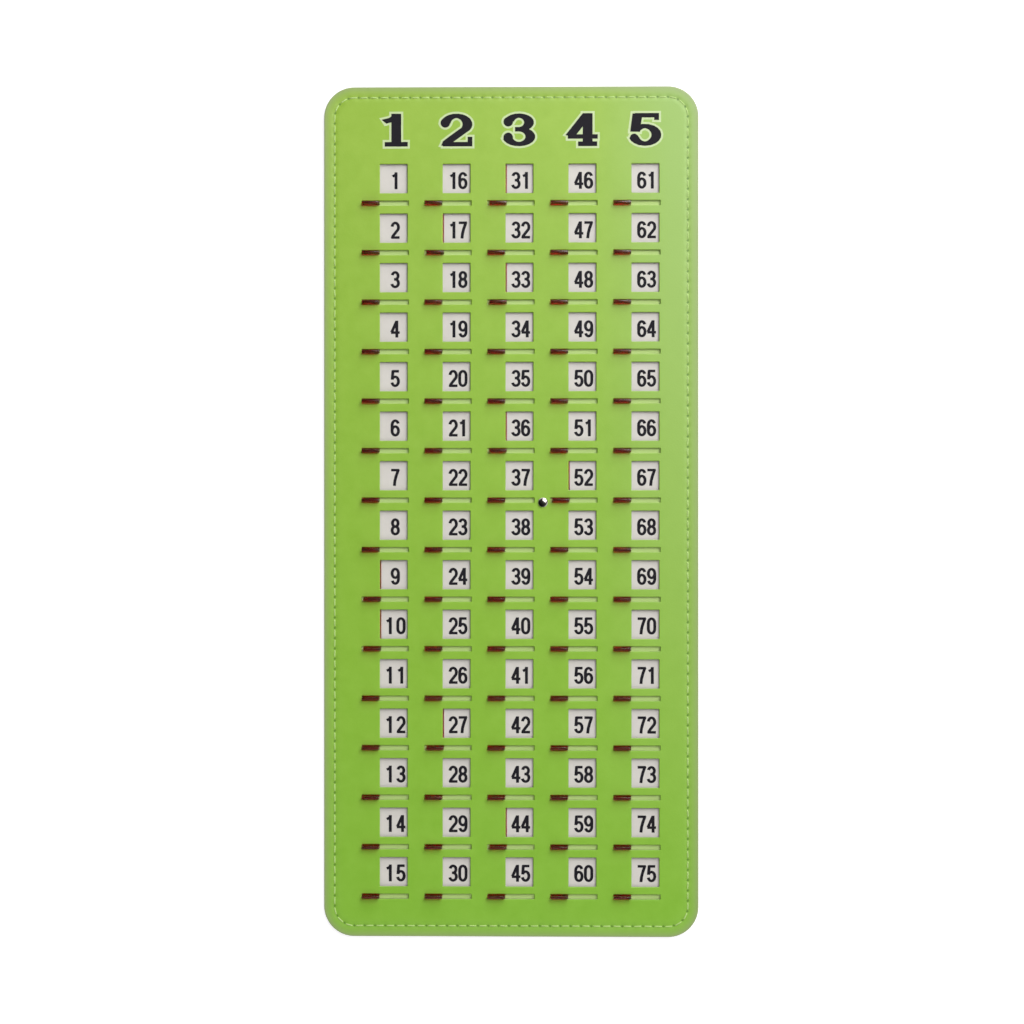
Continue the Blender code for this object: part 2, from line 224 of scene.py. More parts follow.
def outline(tree, use, inset, corner_steps):
    """A tree's path along the board's rounded outline, this far inside it."""
    twice = add(tree, "Math", [inset, 2.0], operation="MULTIPLY")
    across = add(tree, "Math", [use["Width"], twice], operation="SUBTRACT")
    along = add(tree, "Math", [use["Length"], twice], operation="SUBTRACT")
    bend = add(tree, "Math", [use["Corner Radius"], inset], operation="SUBTRACT")
    square = add(tree, "CurvePrimitiveQuadrilateral", {"Width": across, "Height": along})
    return add(tree, "FilletCurve", {"Curve": square, "Count": corner_steps, "Radius": bend}, mode="POLY")


# The cover's rule, face up with its face at height 0. A path along the seam carries the border: a strip
# with the seam's valley, the rounded rim and the cut edge. The windows and slits have edges of their own,
# and the flat face and the underside are filled between all of these.
cover_rule, use = new_tree("stitched_cover", back_sizes)
seam_inset = use["Seam Inset"]
rounded = outline(cover_rule, use, seam_inset, 32)
upright = add(cover_rule, "SetCurveNormal", {"Curve": rounded}, mode="Z_UP")
steps = add(cover_rule, "Math", [use["Stitches"], use["Steps per Stitch"]], operation="MULTIPLY")
stepped = add(cover_rule, "ResampleCurve", {"Curve": upright, "Count": steps})
share = add(cover_rule, "SplineParameter").outputs["Factor"]
seam_path = add(cover_rule, "StoreNamedAttribute", {"Geometry": stepped, "Name": "along", "Value": share})

# Border strip, rim and edge, as lines across the path with x outwards and y down.
inner = add(cover_rule, "Math", [seam_inset, use["Border"]], operation="SUBTRACT")
shoulder = add(cover_rule, "Math", [seam_inset, use["Rim Round"]], operation="SUBTRACT")
strip_start = add(cover_rule, "CombineXYZ", {"X": inner})
strip_end = add(cover_rule, "CombineXYZ", {"X": shoulder})
strip_line = add(cover_rule, "CurvePrimitiveLine", {"Start": strip_start, "End": strip_end})
strip_across = add(cover_rule, "ResampleCurve", {"Curve": strip_line, "Count": 17})
here = add(cover_rule, "InputPosition")
outwards = add(cover_rule, "SeparateXYZ", {"Vector": here}).outputs["X"]
strip_profile = add(
    cover_rule, "StoreNamedAttribute", {"Geometry": strip_across, "Name": "off_seam", "Value": outwards}
)
strip = add(cover_rule, "CurveToMesh", {"Curve": seam_path, "Profile Curve": strip_profile})

along = add(cover_rule, "InputNamedAttribute", {"Name": "along"}, data_type="FLOAT")
off_seam = add(cover_rule, "InputNamedAttribute", {"Name": "off_seam"}, data_type="FLOAT")
stitch_at = add(cover_rule, "Math", [along, use["Stitches"]], operation="MULTIPLY")
phase = add(cover_rule, "Math", [stitch_at, 2 * math.pi], operation="MULTIPLY")
swing = add(cover_rule, "Math", [phase], operation="COSINE")
bells = {}
for label in ("Seam Width", "Hole Width"):
    ratio = add(cover_rule, "Math", [off_seam, use[label]], operation="DIVIDE")
    squared = add(cover_rule, "Math", [ratio, ratio], operation="MULTIPLY")
    falling = add(cover_rule, "Math", [squared, -1.0], operation="MULTIPLY")
    bells[label] = add(cover_rule, "Math", [falling], operation="EXPONENT")
pull = add(cover_rule, "Math", [swing, use["Pucker"], 1.0], operation="MULTIPLY_ADD")
valley = add(cover_rule, "Math", [pull, bells["Seam Width"]], operation="MULTIPLY")
depth = add(cover_rule, "Math", [valley, use["Seam Depth"]], operation="MULTIPLY")
down = add(cover_rule, "Math", [depth, -1.0], operation="MULTIPLY")
dip = add(cover_rule, "CombineXYZ", {"Z": down})
drawn_in = add(cover_rule, "SetPosition", {"Geometry": strip, "Offset": dip})
# Marks at the needle holes, for the painted shade in them.
at_hole = add(cover_rule, "Math", [swing, 0.0], operation="MAXIMUM")
hole_shade_mark = add(cover_rule, "Math", [at_hole, bells["Hole Width"]], operation="MULTIPLY")
pierced_strip = add(
    cover_rule, "StoreNamedAttribute", {"Geometry": drawn_in, "Name": "needle_hole", "Value": hole_shade_mark}
)
from_edge = add(cover_rule, "Math", [off_seam, seam_inset], operation="SUBTRACT")
edge_ratio = add(cover_rule, "Math", [from_edge, use["Rim Wear"]], operation="DIVIDE")
rim_mark = add(cover_rule, "Math", [edge_ratio], operation="EXPONENT")
worn_strip = add(
    cover_rule, "StoreNamedAttribute", {"Geometry": pierced_strip, "Name": "rim", "Value": rim_mark}
)

below = add(cover_rule, "CombineXYZ", {"X": shoulder, "Y": use["Rim Round"]})
QUARTER = math.pi / 2
rim_arc = add(
    cover_rule, "CurveArc",
    {"Resolution": 5, "Radius": use["Rim Round"], "Start Angle": -QUARTER, "Sweep Angle": QUARTER},
)
rim_profile = add(cover_rule, "Transform", {"Geometry": rim_arc, "Translation": below})
rim_sweep = add(cover_rule, "CurveToMesh", {"Curve": seam_path, "Profile Curve": rim_profile})
rim = add(cover_rule, "StoreNamedAttribute", {"Geometry": rim_sweep, "Name": "rim", "Value": 1.0})
edge_top = add(cover_rule, "CombineXYZ", {"X": seam_inset, "Y": use["Rim Round"]})
edge_foot = add(cover_rule, "CombineXYZ", {"X": seam_inset, "Y": use["Thickness"]})
edge_line = add(cover_rule, "CurvePrimitiveLine", {"Start": edge_top, "End": edge_foot})
edge = add(cover_rule, "CurveToMesh", {"Curve": seam_path, "Profile Curve": edge_line})

# Windows and slits, repeated on the grid, and the rivet's hole.
span = {}
for axis, count, pitch in (("X", "Columns", "Column Pitch"), ("Y", "Rows", "Row Pitch")):
    spaces = add(cover_rule, "Math", [use[count], 1.0], operation="SUBTRACT")
    span[axis] = add(cover_rule, "Math", [spaces, use[pitch]], operation="MULTIPLY")
counts = {"Vertices X": use["Columns"], "Vertices Y": use["Rows"]}
grid = add(cover_rule, "MeshGrid", {"Size X": span["X"], "Size Y": span["Y"], **counts})
right = add(cover_rule, "Math", [span["X"], 0.5], operation="MULTIPLY")
lower = add(cover_rule, "Math", [span["Y"], -0.5], operation="MULTIPLY")
to_first = add(cover_rule, "CombineXYZ", {"X": right, "Y": lower})
openings = add(cover_rule, "JoinGeometry")
for wide, tall, first in (
    ("Window Width", "Window Height", "First Window"),
    ("Slit Length", "Slit Height", "First Slit"),
):
    shift = add(cover_rule, "VectorMath", [use[first], to_first], operation="ADD")
    spread = add(cover_rule, "Transform", {"Geometry": grid, "Translation": shift})
    cut = add(cover_rule, "CurvePrimitiveQuadrilateral", {"Width": use[wide], "Height": use[tall]})
    eased = add(
        cover_rule, "FilletCurve", {"Curve": cut, "Count": 4, "Radius": use["Opening Corner"]},
        mode="POLY",
    )
    stamped = add(
        cover_rule, "InstanceOnPoints", {"Points": spread, "Selection": use["Die Cut"], "Instance": eased}
    )
    fill(openings, [stamped])
punch = add(cover_rule, "CurvePrimitiveCircle", {"Resolution": 32, "Radius": use["Rivet Hole"]})
punched = add(cover_rule, "Transform", {"Geometry": punch, "Translation": use["Rivet Place"]})
fill(openings, [punched])
real_openings = add(cover_rule, "RealizeInstances", {"Geometry": openings})
cuts = add(cover_rule, "SetCurveNormal", {"Curve": real_openings}, mode="Z_UP")

lip_centre = add(cover_rule, "CombineXYZ", {"X": use["Cut Round"], "Y": use["Cut Round"]})
lip_arc = add(
    cover_rule, "CurveArc",
    {"Resolution": 4, "Radius": use["Cut Round"], "Start Angle": math.pi, "Sweep Angle": QUARTER},
)
lip_profile = add(cover_rule, "Transform", {"Geometry": lip_arc, "Translation": lip_centre})
lips = add(cover_rule, "CurveToMesh", {"Curve": cuts, "Profile Curve": lip_profile})
wall_foot = add(cover_rule, "CombineXYZ", {"Y": use["Thickness"]})
wall_top = add(cover_rule, "CombineXYZ", {"Y": use["Cut Round"]})
wall_line = add(cover_rule, "CurvePrimitiveLine", {"Start": wall_foot, "End": wall_top})
walls = add(cover_rule, "CurveToMesh", {"Curve": cuts, "Profile Curve": wall_line})

# Face and underside, between the outermost and innermost lines of what is above.
facing = add(cover_rule, "InputNormal").outputs["Normal"]
filled = {}
for label, border_shift, cut_shift in (("face", inner, use["Cut Round"]), ("underside", seam_inset, 0.0)):
    loops = add(cover_rule, "JoinGeometry")
    for path, shift in ((seam_path, border_shift), (cuts, cut_shift)):
        aside = add(cover_rule, "VectorMath", {0: facing, "Scale": shift}, operation="SCALE")
        fill(loops, [add(cover_rule, "SetPosition", {"Geometry": path, "Offset": aside})])
    filled[label] = add(cover_rule, "FillCurve", {"Curve": loops}, mode="TRIANGLES")
flipped = add(cover_rule, "FlipFaces", {"Mesh": filled["underside"]})
to_underside = add(
    cover_rule, "VectorMath", {0: (0.0, 0.0, -1.0), "Scale": use["Thickness"]}, operation="SCALE"
)
sunk = add(cover_rule, "Transform", {"Geometry": flipped, "Translation": to_underside})

whole = add(cover_rule, "JoinGeometry")
for raw, curved, parts in (
    (False, True, (worn_strip, rim, lips)),
    (False, False, (filled["face"],)),
    (True, False, (edge, walls, sunk)),
):
    for part in parts:
        shaded = add(cover_rule, "SetShadeSmooth", {"Geometry": part, "Shade Smooth": curved})
        marked = add(
            cover_rule, "StoreNamedAttribute", {"Geometry": shaded, "Name": "raw_card", "Value": raw},
            data_type="BOOLEAN", domain="FACE",
        )
        fill(whole, [marked])
WELD = 0.003 * MM
welded = add(cover_rule, "MergeByDistance", {"Geometry": whole, "Distance": WELD})
solid = add(cover_rule, "RealizeInstances", {"Geometry": welded})
faced = add(cover_rule, "SetMaterial", {"Geometry": solid, "Material": use["Vinyl"]})
raw_card = add(cover_rule, "InputNamedAttribute", {"Name": "raw_card"}, data_type="BOOLEAN")
cut = add(cover_rule, "SetMaterial", {"Geometry": faced, "Selection": raw_card, "Material": use["Core"]})
add(cover_rule, "GroupOutput", {"Geometry": cut})

back_board = grown("back_board", cover_rule, back_sizes)
back_board.data.transform(Matrix.Translation((0, 0, low.z)) @ Matrix.Rotation(math.pi, 4, "Y"))
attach(back_board, "board")
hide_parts("back_cover")


# Number sheet. Smooth white card with the numbers 1 to 75 printed on it in black, five columns of fifteen.
# It is glued to the back cover, and the numbers show through the windows.

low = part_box("number_sheet")[0]
COLUMNS = 5
ROWS = 15
LOOSE_ROWS = 10  # the shutters of these rows slide
first_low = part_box("shutter_01")[0]
last_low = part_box("shutter_70")[0]  # in the fifth column and the tenth row
COLUMN_PITCH = (last_low.x - first_low.x) / (COLUMNS - 1)
ROW_PITCH = (first_low.y - last_low.y) / (LOOSE_ROWS - 1)
WINDOW_WIDTH = 17.3 * MM
WINDOW_HEIGHT = 18.2 * MM
SHEET_THICKNESS = 0.5 * MM
TAB_MIDDLE = Vector((12.6 * MM, 0.9 * MM))  # from a shutter's lower left corner
WINDOW_FROM_TAB = Vector((14.35 * MM, 15.4 * MM))
first_tab = first_low.xy + TAB_MIDDLE
first_window = first_tab + WINDOW_FROM_TAB
sheet_top = low.z + SHEET_THICKNESS

# Coated card: matt white, faintly warm, with a soft tooth of about 0.4 mm.
card, tree, shader = finish("white_printing_card", Roughness=0.62)
flecked(shader, 6 * MM, 3.0, "CFCAC4", "DAD6D0")
spot = add(tree, "TexCoord").outputs["Object"]
tooth = add(tree, "TexNoise", {"Vector": spot, "Scale": 1 / (0.4 * MM), "Detail": 2.0})
nap = add(tree, "Bump", {"Height": tooth, "Strength": 0.15, "Distance": 0.02 * MM})
fill(shader, {"Normal": nap})

sheet_sizes = {
    "Width": WIDTH,
    "Length": LENGTH,
    "Corner Radius": CORNER_RADIUS,
    "Thickness": SHEET_THICKNESS,
    "Rivet Hole": 2.0 * MM,
    "Rivet Place": (rivet_x, rivet_y, 0.0),
    "Card": card,
}
sheet_rule, use = new_tree("plain_ply", sheet_sizes)
rounded = outline(sheet_rule, use, 0.0, 16)
punch = add(sheet_rule, "CurvePrimitiveCircle", {"Resolution": 32, "Radius": use["Rivet Hole"]})
punched = add(sheet_rule, "Transform", {"Geometry": punch, "Translation": use["Rivet Place"]})
rim_path = add(sheet_rule, "SetCurveNormal", {"Curve": rounded}, mode="Z_UP")
hole_path = add(sheet_rule, "SetCurveNormal", {"Curve": punched}, mode="Z_UP")
deep = add(sheet_rule, "CombineXYZ", {"Y": use["Thickness"]})
both = add(sheet_rule, "JoinGeometry", {"Geometry": rim_path})
fill(both, [hole_path])
face = add(sheet_rule, "FillCurve", {"Curve": both}, mode="TRIANGLES")
fall = add(sheet_rule, "VectorMath", {0: (0.0, 0.0, -1.0), "Scale": use["Thickness"]}, operation="SCALE")
flipped = add(sheet_rule, "FlipFaces", {"Mesh": face})
under = add(sheet_rule, "Transform", {"Geometry": flipped, "Translation": fall})
edge_line = add(sheet_rule, "CurvePrimitiveLine", {"Start": (0.0, 0.0, 0.0), "End": deep})
hole_line = add(sheet_rule, "CurvePrimitiveLine", {"Start": deep, "End": (0.0, 0.0, 0.0)})
edge = add(sheet_rule, "CurveToMesh", {"Curve": rim_path, "Profile Curve": edge_line})
bore = add(sheet_rule, "CurveToMesh", {"Curve": hole_path, "Profile Curve": hole_line})
whole = add(sheet_rule, "JoinGeometry")
for part in (face, under, edge, bore):
    fill(whole, [part])
welded = add(sheet_rule, "MergeByDistance", {"Geometry": whole, "Distance": WELD})
flat = add(sheet_rule, "SetShadeSmooth", {"Geometry": welded, "Shade Smooth": False})
solid = add(sheet_rule, "RealizeInstances", {"Geometry": flat})
faced = add(sheet_rule, "SetMaterial", {"Geometry": solid, "Material": use["Card"]})
add(sheet_rule, "GroupOutput", {"Geometry": faced})

number_card = grown("number_card", sheet_rule, sheet_sizes)
number_card.data.transform(Matrix.Translation((0, 0, sheet_top)))
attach(number_card, "board")
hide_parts("number_sheet")

# Offset printing ink: a thin black film, hardly raised, a little glossier than the card.
ink, _, shader = finish("black_printing_ink", Roughness=0.7, Specular_IOR_Level=0.25)
flecked(shader, 0.5 * MM, 2.0, "0F0D13", "1D1923")


def arc(centre_x, centre_y, radius_x, radius_y, start, end, steps=12):
    """Points of an elliptical arc, with its angles in degrees."""
    angles = [math.radians(start + (end - start) * i / steps) for i in range(steps + 1)]
    return [(centre_x + radius_x * math.cos(a), centre_y + radius_y * math.sin(a)) for a in angles]


def ring(centre_x, centre_y, radius_x, radius_y):
    """Points of a whole ellipse."""
    return arc(centre_x, centre_y, radius_x, radius_y, 0, 360, 24)[:-1]


# Each figure as pen strokes in a unit box, and whether a stroke is closed. A stroke that ends at the box's
# side runs a little past it, because the pen has a width.
six = [(ring(0.5, 0.3, 0.5, 0.3), True), ([(0, 0.3)] + arc(0.5, 0.68, 0.5, 0.32, 180, 22, 14), False)]
two_slope = [(0.7, 0.42), (0.36, 0.23), (0.1, 0.08), (0.02, -0.06)]
seven_stem = [(1.0, 1.04), (0.66, 0.62), (0.45, 0.28), (0.36, -0.08)]
FIGURES = {
    "0": [(arc(0.5, 0.7, 0.5, 0.3, 0, 180) + arc(0.5, 0.3, 0.5, 0.3, 180, 360), True)],
    "1": [([(0.62, -0.08), (0.62, 1.08)], False), ([(0.66, 0.98), (0.42, 0.87), (0.06, 0.8)], False)],
    "2": [
        (arc(0.5, 0.7, 0.5, 0.3, 172, -32, 14) + two_slope, False),
        ([(-0.12, 0), (1.18, 0)], False),
    ],
    "3": [
        (arc(0.48, 0.76, 0.46, 0.24, 168, -90, 16) + [(0.3, 0.52)], False),
        ([(0.3, 0.52)] + arc(0.48, 0.26, 0.52, 0.26, 90, -168, 16), False),
    ],
    "4": [
        ([(0.74, -0.08), (0.74, 1.08)], False),
        ([(-0.16, 0.26), (1.2, 0.26)], False),
        ([(0.72, 1.04), (-0.06, 0.28)], False),
    ],
    "5": [
        ([(0.02, 1), (1.08, 1)], False),
        ([(0.14, 1.06), (0.03, 0.42)], False),
        ([(0.03, 0.46)] + arc(0.48, 0.31, 0.52, 0.31, 135, -165, 16), False),
    ],
    "6": six,
    "7": [([(-0.16, 1), (1.14, 1)], False), (seven_stem, False)],
    "8": [(ring(0.5, 0.76, 0.44, 0.24), True), (ring(0.5, 0.26, 0.5, 0.26), True)],
    "9": [([(1 - x, 1 - y) for x, y in path], closed) for path, closed in six],
}


def stroke(path, closed, nib, grow):
    """The four-sided patches of a stroke that a pen with an oval nib of these half widths leaves."""
    points = [Vector(point) for point in path]
    if not closed:
        points[0] += (points[0] - points[1]).normalized() * grow
        points[-1] += (points[-1] - points[-2]).normalized() * grow
    sides = []
    for i, point in enumerate(points):
        before = points[i - 1] if closed or i else point
        after = points[(i + 1) % len(points)] if closed or i < len(points) - 1 else point
        run = after - before
        normal = Vector((-run.y, run.x)).normalized()
        reach = Vector(((nib[0] + grow) ** 2 * normal.x, (nib[1] + grow) ** 2 * normal.y))
        reach /= math.hypot((nib[0] + grow) * normal.x, (nib[1] + grow) * normal.y)
        sides.append((point + reach, point - reach))
    pairs = list(zip(sides, sides[1:] + sides[:1])) if closed else list(zip(sides, sides[1:]))
    return [(a[1], b[1], b[0], a[0]) for a, b in pairs]


def figure_patches(figure, size, nib, grow=0.0):
    """The patches of one figure of this width and height, centred on the origin, grown all round."""
    span = (size[0] - 2 * nib[0], size[1] - 2 * nib[1])
    patches = []
    for path, closed in FIGURES[figure]:
        sized = [((x - 0.5) * span[0], (y - 0.5) * span[1]) for x, y in path]
        patches += stroke(sized, closed, nib, grow)
    return patches


SAME_POINT = 1e-8


def joined(patches):
    """Points and triangles of the area that overlapping patches cover together."""
    corners = [corner for patch in patches for corner in patch]
    starts = [sum(len(p) for p in patches[:i]) for i in range(len(patches))]
    faces = [[start + k for k in range(len(patch))] for start, patch in zip(starts, patches)]
    points, _, triangles, _, _, owners = delaunay_2d_cdt(corners, [], faces, 0, SAME_POINT)
    inside = [triangle for triangle, owner in zip(triangles, owners) if owner]
    used = sorted({i for triangle in inside for i in triangle})
    renumbered = {old: new for new, old in enumerate(used)}
    return [points[i] for i in used], [[renumbered[i] for i in triangle] for triangle in inside]


def only(kind, items):
    """Those of one kind among the points, edges and faces that an operation gives."""
    return [item for item in items if isinstance(item, kind)]


def printed(name, shapes, bottom, thickness, material):
    """One piece of ink film from flat shapes, each with the place of its middle."""
    bm = bmesh.new()
    for (points, triangles), centre in shapes:
        corners = [bm.verts.new((x + centre.x, y + centre.y, bottom)) for x, y in points]
        for triangle in triangles:
            bm.faces.new([corners[i] for i in triangle])
    bm.normal_update()
    raised = bmesh.ops.extrude_face_region(bm, geom=bm.faces[:])["geom"]
    for vert in only(bmesh.types.BMVert, raised):
        vert.co.z += thickness
    bmesh.ops.recalc_face_normals(bm, faces=bm.faces[:])
    mesh = bpy.data.meshes.new(name)
    bm.to_mesh(mesh)
    bm.free()
    mesh.materials.append(material)
    return placed(name, mesh)


FIGURE_SIZE = (5.9 * MM, 10.8 * MM)
FIGURE_NIB = (0.94 * MM, 0.82 * MM)
FIGURE_STRIDE = 6.1 * MM
WIDE_STRIDE = 7.2 * MM  # the two-figure numbers of the first column are set wider
FIGURE_SHIFT = Vector((0.9 * MM, -1.05 * MM))
INK_FILM = 0.02 * MM

figures = {figure: joined(figure_patches(figure, FIGURE_SIZE, FIGURE_NIB)) for figure in FIGURES}
labels = []
for column in range(COLUMNS):
    for row in range(ROWS):
        text = str(column * ROWS + row + 1)
        centre = first_window + Vector((column * COLUMN_PITCH, -row * ROW_PITCH)) + FIGURE_SHIFT
        stride = FIGURE_STRIDE if column else WIDE_STRIDE
        for place, figure in enumerate(text):
            offset = (place - (len(text) - 1) / 2) * stride
            labels.append((figures[figure], centre + Vector((offset, 0))))
number_print = printed("number_print", labels, sheet_top, INK_FILM, ink)
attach(number_print, "board")

# Pale green bands, printed under the slits so that no white card shows there: a thin even ink, matt.
green_ink, _, shader = finish("pale_green_printing_ink", Roughness=0.7)
flecked(shader, 0.5 * MM, 2.0, "C3E482", "D0EC98")


def rectangle(half_wide, half_tall):
    """A rectangle's corners about the origin, counter-clockwise from the lower left."""
    return [(x * half_wide, y * half_tall) for x, y in ((-1, -1), (1, -1), (1, 1), (-1, 1))]


BAND_HALF = Vector((15.5 * MM, 2.6 * MM))
SLIT_FROM_TAB = Vector((8.95 * MM, 0))
slit_middle = first_tab + SLIT_FROM_TAB
band = (rectangle(*BAND_HALF), [[0, 1, 2, 3]])
bands = [
    (band, slit_middle + Vector((column * COLUMN_PITCH, -row * ROW_PITCH)))
    for column in range(COLUMNS)
    for row in range(ROWS)
]
slit_bands = printed("slit_bands", bands, sheet_top, INK_FILM, green_ink)
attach(slit_bands, "board")


# Divider grid. Grey chipboard, die-cut with a pocket for each shutter and glued to the number sheet. The
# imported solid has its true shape, so it keeps that and takes a chipboard finish.

# Chipboard of waste paper: matt grey-brown, flecked with fibres about 3 mm long.
chipboard, tree, shader = finish("grey_chipboard", Roughness=0.92)
fleck = flecked(shader, 3 * MM, 5.0, "7C7567", "B0A998", stretch=(1.0, 3.0, 3.0))
rough = add(tree, "Bump", {"Height": fleck, "Strength": 0.4, "Distance": 0.05 * MM})
fill(shader, {"Normal": rough})
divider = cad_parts["divider_grid"]
divider.data.materials.clear()
divider.data.materials.append(chipboard)


# Shutters. Clear red styrene, moulded in one piece: a thin plate, a leg and an upright tab with drafted
# sides and a rounded crest. Fifty slide in their pockets, and those of the last five rows are fixed.

# Transparent polystyrene, tinted in the mass, its gloss dulled by handling. A plate is light red and a tab
# seen on end is nearly black, because the light that comes out of it has gone a longer way.
styrene, tree, shader = finish(
    "clear_red_polystyrene", Base_Color=linear("F6DCD4"), Roughness=0.25, IOR=1.59,
    Specular_IOR_Level=0.02, Transmission_Weight=1.0,
)
tint = add(tree, "VolumeAbsorption", {"Color": linear("F63C14"), "Density": 1700.0})
fill(tree.nodes["Material Output"], {"Volume": tint})
spot = add(tree, "TexCoord").outputs["Object"]
flow = add(tree, "TexNoise", {"Vector": spot, "Scale": 1 / (4 * MM), "Detail": 1.0})
swirl = add(tree, "Bump", {"Height": flow, "Strength": 0.1, "Distance": 0.1 * MM})
fill(shader, {"Normal": swirl})

PLATE_THICKNESS = 0.5 * MM
PLATE_LEFT = -12.6 * MM
PLATE_BOTTOM = 4.8 * MM
PLATE_TOP = 26.0 * MM
PLATE_CORNER = 1.2 * MM
PLATE_EDGE = 0.12 * MM
TAB_HALF_LENGTH = 5.5 * MM
TAB_HALF_THICKNESS = 0.9 * MM
TAB_HEIGHT = 5.0 * MM
TAB_DRAFT = 0.2 * MM
TAB_ROUND = 0.2 * MM

bm = bmesh.new()
foot_outline = rectangle(TAB_HALF_LENGTH, TAB_HALF_THICKNESS)
round_left = PLATE_LEFT + PLATE_CORNER
round_right = TAB_HALF_LENGTH - PLATE_CORNER
round_top = PLATE_TOP - PLATE_CORNER
plate_outline = arc(round_right, round_top, PLATE_CORNER, PLATE_CORNER, 0, 90, 5)
plate_outline += arc(round_left, round_top, PLATE_CORNER, PLATE_CORNER, 90, 180, 5)
plate_outline += arc(round_left, PLATE_BOTTOM + PLATE_CORNER, PLATE_CORNER, PLATE_CORNER, 180, 270, 5)
plate_outline.append((-TAB_HALF_LENGTH, PLATE_BOTTOM))
foot = [bm.verts.new((x, y, 0)) for x, y in foot_outline]
plate = [bm.verts.new((x, y, 0)) for x, y in plate_outline]
lower = [bm.faces.new(foot), bm.faces.new([foot[3], foot[2]] + plate)]
raised = bmesh.ops.extrude_face_region(bm, geom=lower)["geom"]
for vert in only(bmesh.types.BMVert, raised):
    vert.co.z = PLATE_THICKNESS
upper = only(bmesh.types.BMFace, raised)
tab_foot = min(upper, key=lambda face: face.calc_center_median().y)
risen = bmesh.ops.extrude_face_region(bm, geom=[tab_foot])["geom"]
bmesh.ops.delete(bm, geom=[tab_foot], context="FACES_ONLY")
for vert in only(bmesh.types.BMVert, risen):
    vert.co.z += TAB_HEIGHT
    vert.co.x -= math.copysign(TAB_DRAFT, vert.co.x)
    vert.co.y -= math.copysign(TAB_DRAFT, vert.co.y)
crest = only(bmesh.types.BMEdge, risen)
posts = [e for e in bm.edges if abs(e.verts[0].co.z - e.verts[1].co.z) > TAB_HEIGHT / 2]
bmesh.ops.recalc_face_normals(bm, faces=bm.faces[:])
bmesh.ops.bevel(bm, geom=crest + posts, offset=TAB_ROUND, segments=3, profile=0.5, affect="EDGES")
SHARP = math.radians(60)
rims = [e for e in bm.edges if e.verts[0].co.z == e.verts[1].co.z and e.calc_face_angle(0) > SHARP]
bmesh.ops.bevel(bm, geom=rims, offset=PLATE_EDGE, segments=1, profile=0.5, affect="EDGES")
bmesh.ops.recalc_face_normals(bm, faces=bm.faces[:])
shutter_mesh = bpy.data.meshes.new("moulded_shutter")
bm.to_mesh(shutter_mesh)
bm.free()
shutter_mesh.materials.append(styrene)
shutter_mesh.shade_smooth()
shutter_mesh.set_sharp_from_angle(angle=math.radians(40))

for node in sorted(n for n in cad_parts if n.startswith("shutter_")):
    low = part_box(node)[0]
    mesh = shutter_mesh.copy()
    mesh.transform(Matrix.Translation((low.x - PLATE_LEFT, low.y + TAB_HALF_THICKNESS, low.z)))
    slider = placed(node.replace("shutter", "sliding_shutter"), mesh)
    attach(slider, node)
    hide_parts(node)

AJAR = 1.0 * MM
AJAR_NUMBERS = (27, 44)  # of the fixed ones
SEATED_IN_CARD = 0.1 * MM
seats = []
for column in range(COLUMNS):
    for row in range(LOOSE_ROWS, ROWS):
        shift = AJAR if column * ROWS + row + 1 in AJAR_NUMBERS else 0
        x, y = first_tab + Vector((column * COLUMN_PITCH + shift, -row * ROW_PITCH))
        seats.append((x, y, sheet_top - SEATED_IN_CARD))
pattern = placed("shutter_pattern", shutter_mesh)
seat_values = {"Shutter": pattern, "Styrene": styrene}
seat_rule, use = new_tree("seated_shutters", seat_values)
copied = add(seat_rule, "ObjectInfo", {"Object": use["Shutter"]})
set_down = add(
    seat_rule, "InstanceOnPoints", {"Points": use["Points"], "Instance": copied.outputs["Geometry"]}
)
solid = add(seat_rule, "RealizeInstances", {"Geometry": set_down})
faced = add(seat_rule, "SetMaterial", {"Geometry": solid, "Material": use["Styrene"]})
add(seat_rule, "GroupOutput", {"Geometry": faced})
fixed_shutters = grown("fixed_shutters", seat_rule, seat_values, seats)
bpy.data.objects.remove(pattern, do_unlink=True)
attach(fixed_shutters, "board")


# Front cover. The same vinyl-faced card, die-cut with a window and a slit for every number. The die rolls
# the vinyl over at each cut, and the grey card shows below it.

front_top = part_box("front_cover")[1].z
front_sizes = {
    **back_sizes,
    "Thickness": front_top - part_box("divider_grid")[1].z - LEAF,
    "Columns": COLUMNS,
    "Rows": ROWS,
    "Column Pitch": COLUMN_PITCH,
    "Row Pitch": ROW_PITCH,
    "Window Width": WINDOW_WIDTH,
    "Window Height": WINDOW_HEIGHT,
    "First Window": (*first_window, 0.0),
    "Slit Length": 29.5 * MM,
    "Slit Height": 3.0 * MM,
    "First Slit": (*slit_middle, 0.0),
    "Cut Round": 0.5 * MM,
    "Die Cut": 1,
    "Rivet Hole": 2.0 * MM,
    "Rivet Place": (rivet_x, rivet_y, 0.0),
}
front_board = grown("front_board", cover_rule, front_sizes)
front_board.data.transform(Matrix.Translation((0, 0, front_top)))
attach(front_board, "board")
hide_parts("front_cover")


# Column headings. Plain figures from 1 to 5, screen-printed over the columns in black on a pale edge. They
# are drawn with a broad pen and have slab feet.

HEADING_SIZE = (20.0 * MM, 20.6 * MM)
HEADING_NIB = (3.1 * MM, 1.4 * MM)
HEADING_EDGE = 1.3 * MM
HEADING_Y = 239.6 * MM
PALE_FILM = 0.03 * MM

# Screen ink: thick and even, satin, with the vinyl's grain just felt through it.
pale, tree, shader = finish("pale_screen_ink", Roughness=0.5)
film = flecked(shader, 0.9 * MM, 2.0, "BCD094", "CFDFB0")
felt = add(tree, "Bump", {"Height": film, "Strength": 0.2, "Distance": 0.03 * MM})
fill(shader, {"Normal": felt})


def slab(centre_x, centre_y, width, height, grow):
    """A rectangular serif, larger all round for the pale edge."""
    corners = rectangle(width / 2 + grow, height / 2 + grow)
    return tuple(Vector((centre_x + dx, centre_y + dy)) for dx, dy in corners)


